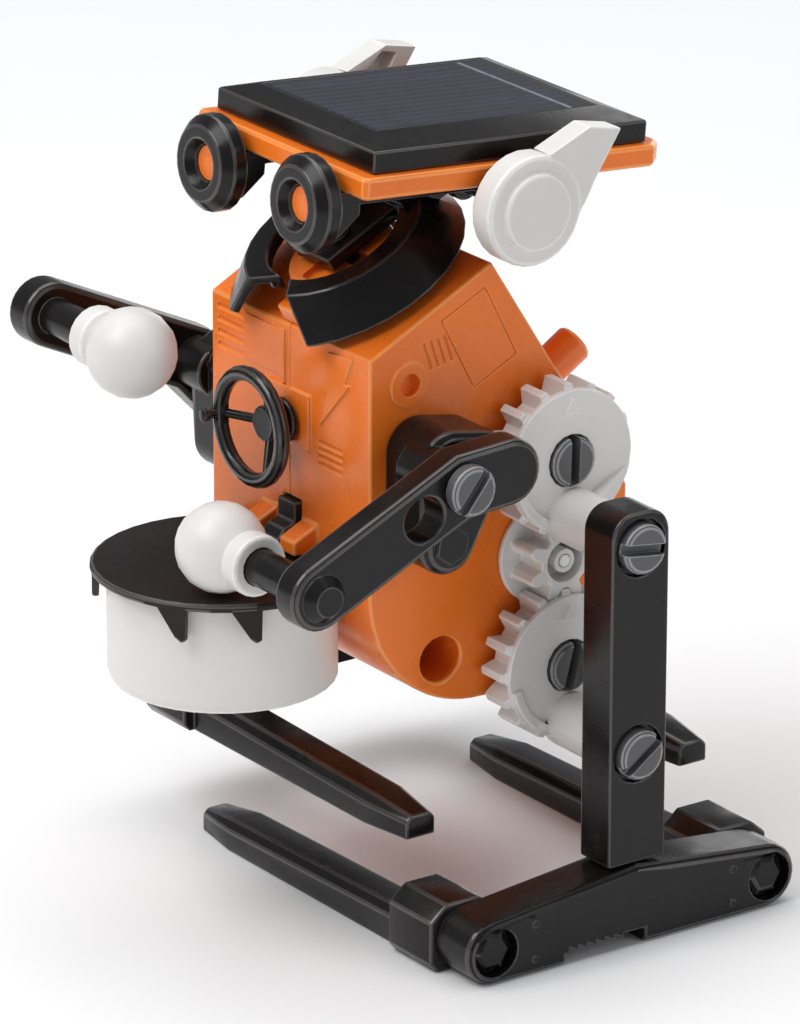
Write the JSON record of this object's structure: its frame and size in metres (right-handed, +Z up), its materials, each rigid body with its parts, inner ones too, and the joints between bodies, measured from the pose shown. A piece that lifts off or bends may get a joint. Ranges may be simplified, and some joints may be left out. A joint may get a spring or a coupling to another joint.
{
  "type": "solar walking robot kit",
  "caption": "Boxy toy robot that walks on two crank-driven feet, with geared sides, ball-handed arms, a drum, a steering wheel, and a tilting head under a solar panel.",
  "frame": {"origin": "on the ground under the middle of the robot's bounding box", "axes": "+Z up, -Y to the robot's front, +X to the robot's own left"},
  "size_m": [0.1124, 0.1112, 0.147],
  "materials": {
    "orange_plastic": "moulded, glossy, orange",
    "black_plastic": "moulded, glossy, black",
    "white_plastic": "moulded, satin, off-white",
    "grey_plastic": "moulded, satin, dark grey",
    "cell": "smooth dark blue silicon under resin",
    "steel": "drawn steel"
  },
  "bodies": {
    "trunk": {"casing_left": "orange_plastic", "casing_right": "orange_plastic", "tail_peg": "orange_plastic", "drum_shell": "white_plastic", "drum_lid": "black_plastic", "motor_can": "steel", "motor_cradle": "orange_plastic", "lay_spindle": "steel", "neck_disc": "orange_plastic", "shoulder_block_left": "black_plastic", "shoulder_block_right": "black_plastic", "gear_screw_upper_left": "grey_plastic", "gear_screw_lower_left": "grey_plastic", "gear_screw_upper_right": "grey_plastic", "gear_screw_lower_right": "grey_plastic", "arm_screw_left": "grey_plastic", "arm_screw_right": "grey_plastic"},
    "motor_rotor": {"motor_shaft": "steel"},
    "lay_shaft": {"lay_gear": "white_plastic"},
    "output": {"output_shaft": "steel", "output_wheel": "white_plastic", "output_pinion_left": "white_plastic", "output_pinion_right": "white_plastic"},
    "wheel": {"steering_wheel": "black_plastic"},
    "neck": {"neck_post": "black_plastic", "neck_collar": "black_plastic"},
    "head": {"head_plate": "orange_plastic", "head_frame": "black_plastic", "panel_housing": "black_plastic", "solar_cell": "cell", "eye_ring_left": "black_plastic", "eye_ring_right": "black_plastic", "eye_core_left": "orange_plastic", "eye_core_right": "orange_plastic", "ear_left": "white_plastic", "ear_right": "white_plastic"},
    "crank_upper_left": {"crank_gear_upper_left": "white_plastic", "leg_screw_upper_left": "grey_plastic"},
    "crank_lower_left": {"crank_gear_lower_left": "white_plastic", "leg_screw_lower_left": "grey_plastic"},
    "leg_left": {"leg_bar_left": "black_plastic", "foot_beam_left": "black_plastic", "foot_prong_front_left": "black_plastic", "foot_prong_rear_left": "black_plastic"},
    "arm_left": {"arm_left": "black_plastic", "hand_ball_left": "white_plastic"},
    "crank_upper_right": {"crank_gear_upper_right": "white_plastic", "leg_screw_upper_right": "grey_plastic"},
    "crank_lower_right": {"crank_gear_lower_right": "white_plastic", "leg_screw_lower_right": "grey_plastic"},
    "leg_right": {"leg_bar_right": "black_plastic", "foot_beam_right": "black_plastic", "foot_prong_front_right": "black_plastic", "foot_prong_rear_right": "black_plastic"},
    "arm_right": {"arm_right": "black_plastic", "hand_ball_right": "white_plastic"}
  },
  "joints": [
    {"name": "drive", "type": "hinge", "parent": "trunk", "child": "crank_upper_left", "pos_m": [0.03, 0.0196, 0.08485], "axis": [1, 0, 0], "continuous": true},
    {"name": "crank_lower_left", "type": "hinge", "parent": "trunk", "child": "crank_lower_left", "pos_m": [0.03, 0.0196, 0.04615], "axis": [1, 0, 0], "continuous": true},
    {"name": "crank_upper_right", "type": "hinge", "parent": "trunk", "child": "crank_upper_right", "pos_m": [-0.03, 0.0196, 0.08485], "axis": [1, 0, 0], "continuous": true},
    {"name": "crank_lower_right", "type": "hinge", "parent": "trunk", "child": "crank_lower_right", "pos_m": [-0.03, 0.0196, 0.04615], "axis": [1, 0, 0], "continuous": true},
    {"name": "output_turn", "type": "hinge", "parent": "trunk", "child": "output", "pos_m": [0, 0.0196, 0.0655], "axis": [1, 0, 0], "continuous": true},
    {"name": "lay_turn", "type": "hinge", "parent": "trunk", "child": "lay_shaft", "pos_m": [0.008, 0.01282, 0.07636], "axis": [1, 0, 0], "continuous": true},
    {"name": "motor_turn", "type": "hinge", "parent": "trunk", "child": "motor_rotor", "pos_m": [0, 0.00603, 0.08721], "axis": [1, 0, 0], "continuous": true},
    {"name": "leg_left_turn", "type": "hinge", "parent": "crank_upper_left", "child": "leg_left", "pos_m": [0.05, 0.0196, 0.07475], "axis": [1, 0, 0], "continuous": true},
    {"name": "leg_right_turn", "type": "hinge", "parent": "crank_upper_right", "child": "leg_right", "pos_m": [-0.05, 0.0196, 0.09495], "axis": [1, 0, 0], "continuous": true},
    {"name": "wheel_turn", "type": "hinge", "parent": "trunk", "child": "wheel", "pos_m": [0, -0.0259, 0.0906], "axis": [0, 1, 0], "continuous": true},
    {"name": "neck_swivel", "type": "hinge", "parent": "trunk", "child": "neck", "pos_m": [0, -0.0042, 0.11486], "axis": [0, -0.4608, 0.8875], "range_deg": [-30, 30]},
    {"name": "head_tilt", "type": "hinge", "parent": "neck", "child": "head", "pos_m": [0, 0.0113, 0.1323], "axis": [1, 0, 0], "range_deg": [-6, 6]},
    {"name": "shoulder_left", "type": "hinge", "parent": "trunk", "child": "arm_left", "pos_m": [0.042, -0.0117, 0.08955], "axis": [1, 0, 0], "range_deg": [-65, 0]},
    {"name": "shoulder_right", "type": "hinge", "parent": "trunk", "child": "arm_right", "pos_m": [-0.042, -0.0117, 0.08955], "axis": [1, 0, 0], "range_deg": [-15, 49]}
  ],
  "couplings": [
    {"joint": "crank_lower_left", "follows": "drive", "ratio": 1},
    {"joint": "crank_upper_right", "follows": "drive", "ratio": 1},
    {"joint": "crank_lower_right", "follows": "drive", "ratio": 1},
    {"joint": "output_turn", "follows": "drive", "ratio": -2},
    {"joint": "lay_turn", "follows": "drive", "ratio": 6},
    {"joint": "motor_turn", "follows": "drive", "ratio": -18},
    {"joint": "leg_left_turn", "follows": "drive", "ratio": -1},
    {"joint": "leg_right_turn", "follows": "drive", "ratio": -1}
  ]
}
